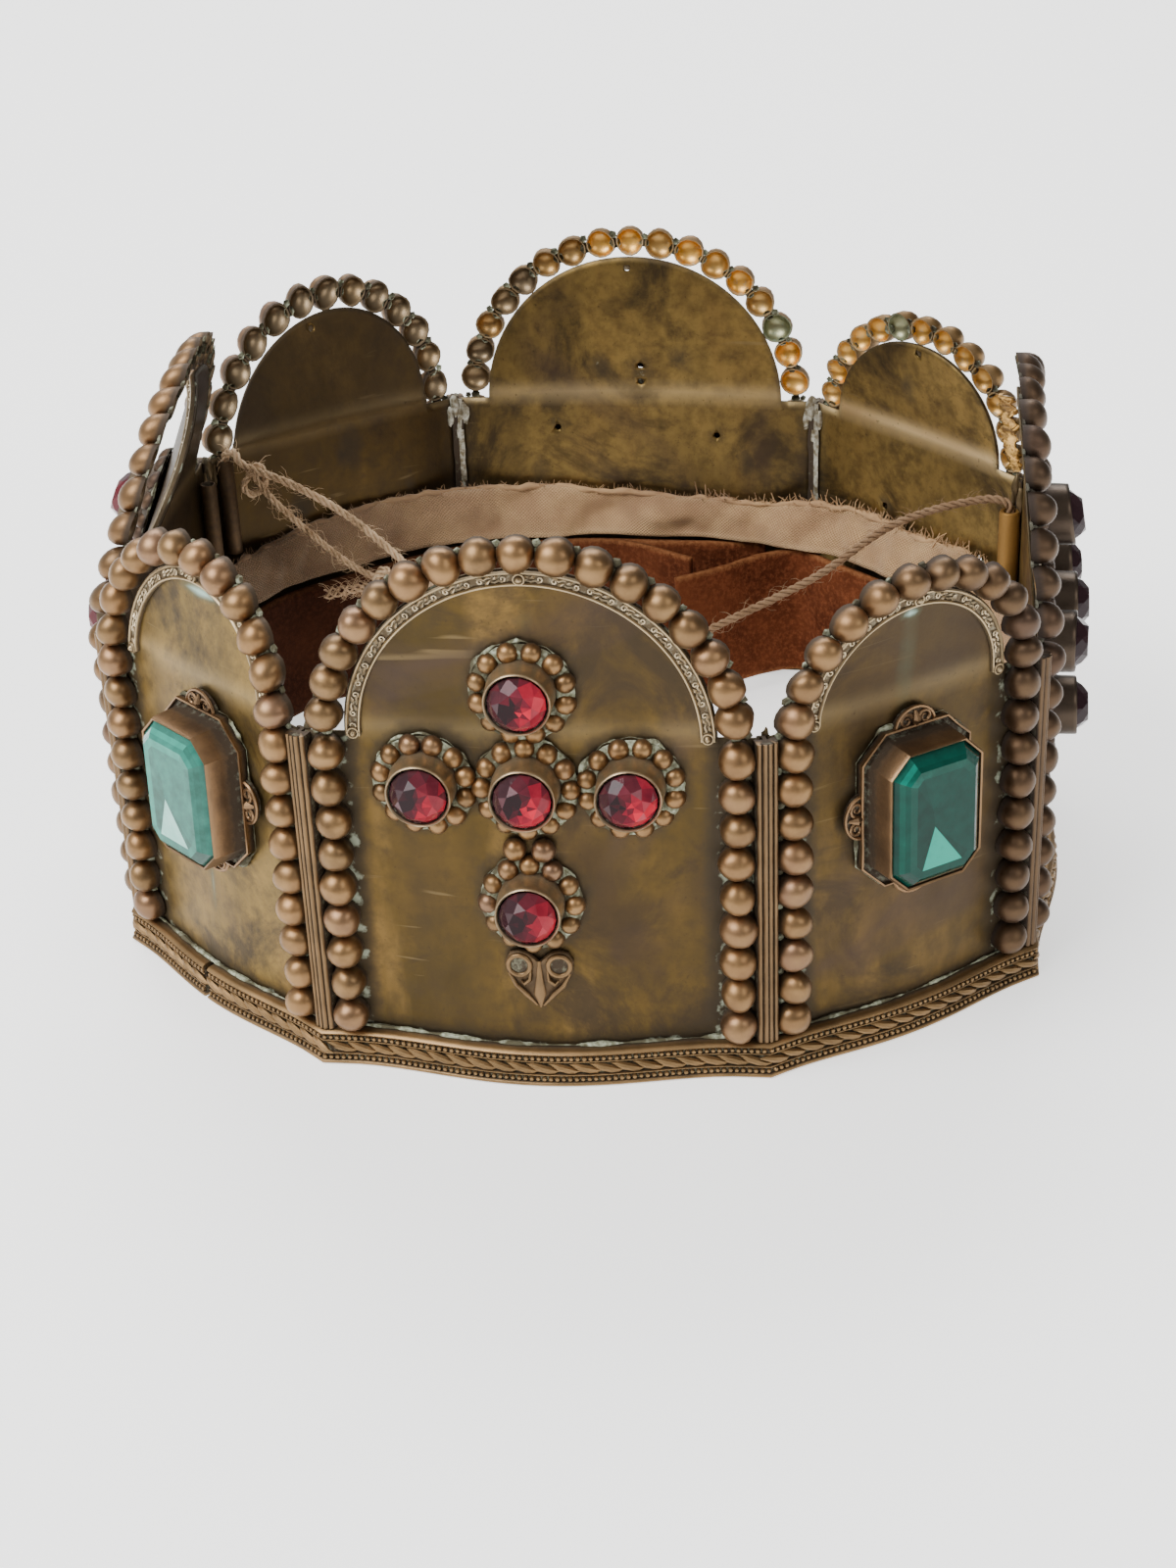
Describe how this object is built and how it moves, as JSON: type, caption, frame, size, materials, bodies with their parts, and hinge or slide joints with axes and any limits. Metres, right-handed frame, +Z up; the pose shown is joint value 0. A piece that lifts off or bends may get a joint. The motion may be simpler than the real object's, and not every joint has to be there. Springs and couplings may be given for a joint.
{
  "type": "costume crown",
  "caption": "Costume crown of arched tarnished brass panels with beaded borders, red stone crosses, green cut stones, a cloth lining and a hanging twine.",
  "frame": {"origin": "on the surface the crown stands on, under the middle of the crown's outline without the twine", "axes": "+Z up, -Y out through the front panel that faces the camera, +X to the wearer's left, which is to the right in the picture"},
  "size_m": [0.2614, 0.2485, 0.1427],
  "materials": {
    "tarnished_brass": "olive-brown tarnished sheet with purple stains and pale green-white bloom at the solder",
    "bead_brass": "stamped brown-bronze, coppery in the low places, rubbed brighter on the tips",
    "strip_brass": "stamped strip, worn coppery on its ridges with dark patches",
    "red_glass": "polished facets, ruby-pink, foiled behind",
    "green_glass": "polished step cut, emerald to pale aqua, foiled behind",
    "cotton": "aged plain-woven cloth",
    "felt": "matted rust-brown felt",
    "jute": "two-strand twisted twine"
  },
  "bodies": {
    "root": {"panel_front": "tarnished_brass", "bead_border_front": "bead_brass", "panel_front_right": "tarnished_brass", "bead_border_front_right": "bead_brass", "panel_right": "tarnished_brass", "bead_border_right": "bead_brass", "panel_back_right": "tarnished_brass", "bead_border_back_right": "bead_brass", "panel_back": "tarnished_brass", "bead_border_back": "bead_brass", "panel_back_left": "tarnished_brass", "bead_border_back_left": "bead_brass", "panel_left": "tarnished_brass", "bead_border_left": "bead_brass", "panel_front_left": "tarnished_brass", "bead_border_front_left": "bead_brass", "post_front_left": "strip_brass", "post_front_right": "strip_brass", "post_right_front": "strip_brass", "post_right_back": "strip_brass", "post_back_right": "strip_brass", "post_back_left": "strip_brass", "post_left_back": "strip_brass", "post_left_front": "strip_brass", "foot_strip": "strip_brass", "cross_mount_front": "bead_brass", "red_stone_front_centre": "red_glass", "red_stone_front_top": "red_glass", "red_stone_front_left": "red_glass", "red_stone_front_right": "red_glass", "red_stone_front_bottom": "red_glass", "cross_mount_right": "bead_brass", "red_stone_right_centre": "red_glass", "red_stone_right_top": "red_glass", "red_stone_right_left": "red_glass", "red_stone_right_right": "red_glass", "red_stone_right_bottom": "red_glass", "cross_mount_back": "bead_brass", "red_stone_back_centre": "red_glass", "red_stone_back_top": "red_glass", "red_stone_back_left": "red_glass", "red_stone_back_right": "red_glass", "red_stone_back_bottom": "red_glass", "cross_mount_left": "bead_brass", "red_stone_left_centre": "red_glass", "red_stone_left_top": "red_glass", "red_stone_left_left": "red_glass", "red_stone_left_right": "red_glass", "red_stone_left_bottom": "red_glass", "green_setting_front_right": "bead_brass", "green_stone_front_right": "green_glass", "green_setting_back_right": "bead_brass", "green_stone_back_right": "green_glass", "green_setting_back_left": "bead_brass", "green_stone_back_left": "green_glass", "green_setting_front_left": "bead_brass", "green_stone_front_left": "green_glass", "cotton_band": "cotton", "felt_band": "felt", "twine": "jute"}
  },
  "joints": []
}
